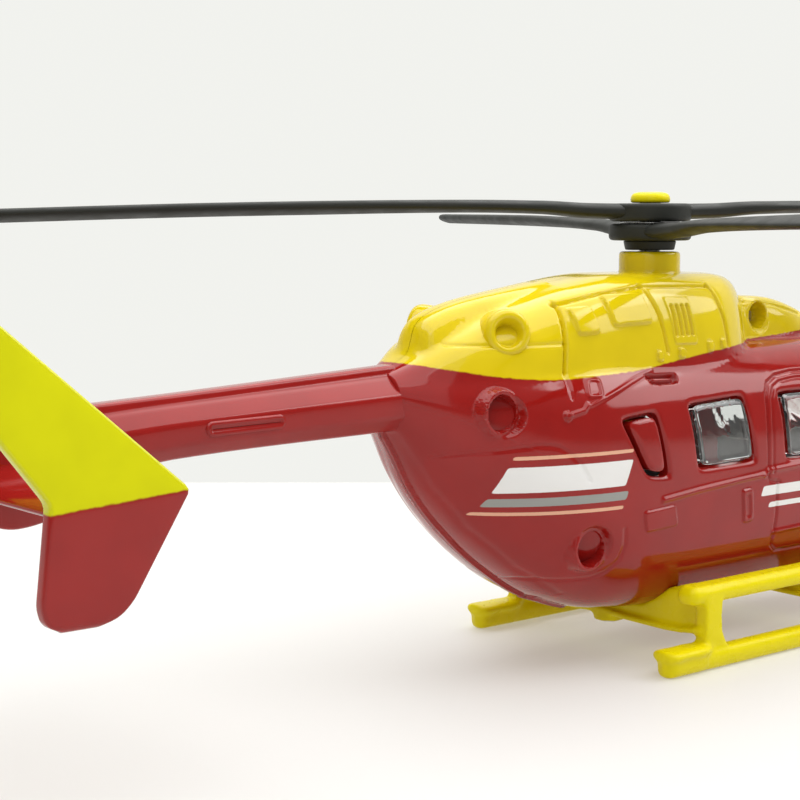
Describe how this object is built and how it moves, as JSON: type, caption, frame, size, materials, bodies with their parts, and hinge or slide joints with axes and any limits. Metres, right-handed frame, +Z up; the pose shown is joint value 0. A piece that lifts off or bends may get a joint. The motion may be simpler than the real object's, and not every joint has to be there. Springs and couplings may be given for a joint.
{
  "type": "helicopter scale model",
  "caption": "Die-cast twin-engine rescue helicopter model on skids, with turning main and tail rotors and fold-together rotor blades.",
  "frame": {"origin": "middle of the bounding box on the plane of the skid soles", "axes": "+X forwards to the nose, +Y to port, +Z up"},
  "size_m": [0.2436, 0.2006, 0.0766],
  "materials": {
    "body_paint": "gloss enamel, red with yellow upper parts",
    "yellow_plastic": "satin injection moulding",
    "black_plastic": "matt injection moulding with fine flow marks",
    "interior": "matt grey moulding",
    "glazing": "clear polystyrene moulding",
    "steel": "zinc-plated steel"
  },
  "bodies": {
    "root": {"body_shell_right": "body_paint", "body_shell_left": "body_paint", "stabiliser": "body_paint", "window_plug_right": "body_paint", "window_plug_left": "body_paint", "windscreen_right": "glazing", "windscreen_left": "glazing", "glazing_right": "glazing", "glazing_left": "glazing", "cabin_interior": "interior", "skid_gear": "yellow_plastic", "skid_screw_front": "steel", "skid_screw_rear": "steel", "tail_rotor_pin": "steel", "body_screw_1": "steel", "body_screw_2": "steel", "body_screw_3": "steel", "body_screw_4": "steel", "body_screw_5": "steel"},
    "rotor": {"rotor_mast": "steel", "rotor_collar": "black_plastic", "rotor_blades_lower": "black_plastic", "friction_washer": "steel", "rotor_cap": "yellow_plastic"},
    "folding_blades": {"rotor_blades_upper": "black_plastic"},
    "tail_rotor": {"tail_rotor": "black_plastic"}
  },
  "joints": [
    {"name": "main_rotor_spin", "type": "hinge", "parent": "root", "child": "rotor", "pos_m": [0.0207, 0, 0.062], "axis": [0, 0, 1], "continuous": true},
    {"name": "blade_fold", "type": "hinge", "parent": "rotor", "child": "folding_blades", "pos_m": [0.0207, 0, 0.0663], "axis": [0, 0, 1], "range_deg": [-80, 80]},
    {"name": "tail_rotor_spin", "type": "hinge", "parent": "root", "child": "tail_rotor", "pos_m": [-0.1103, 0.0048, 0.0594], "axis": [0, 1, 0], "continuous": true}
  ]
}
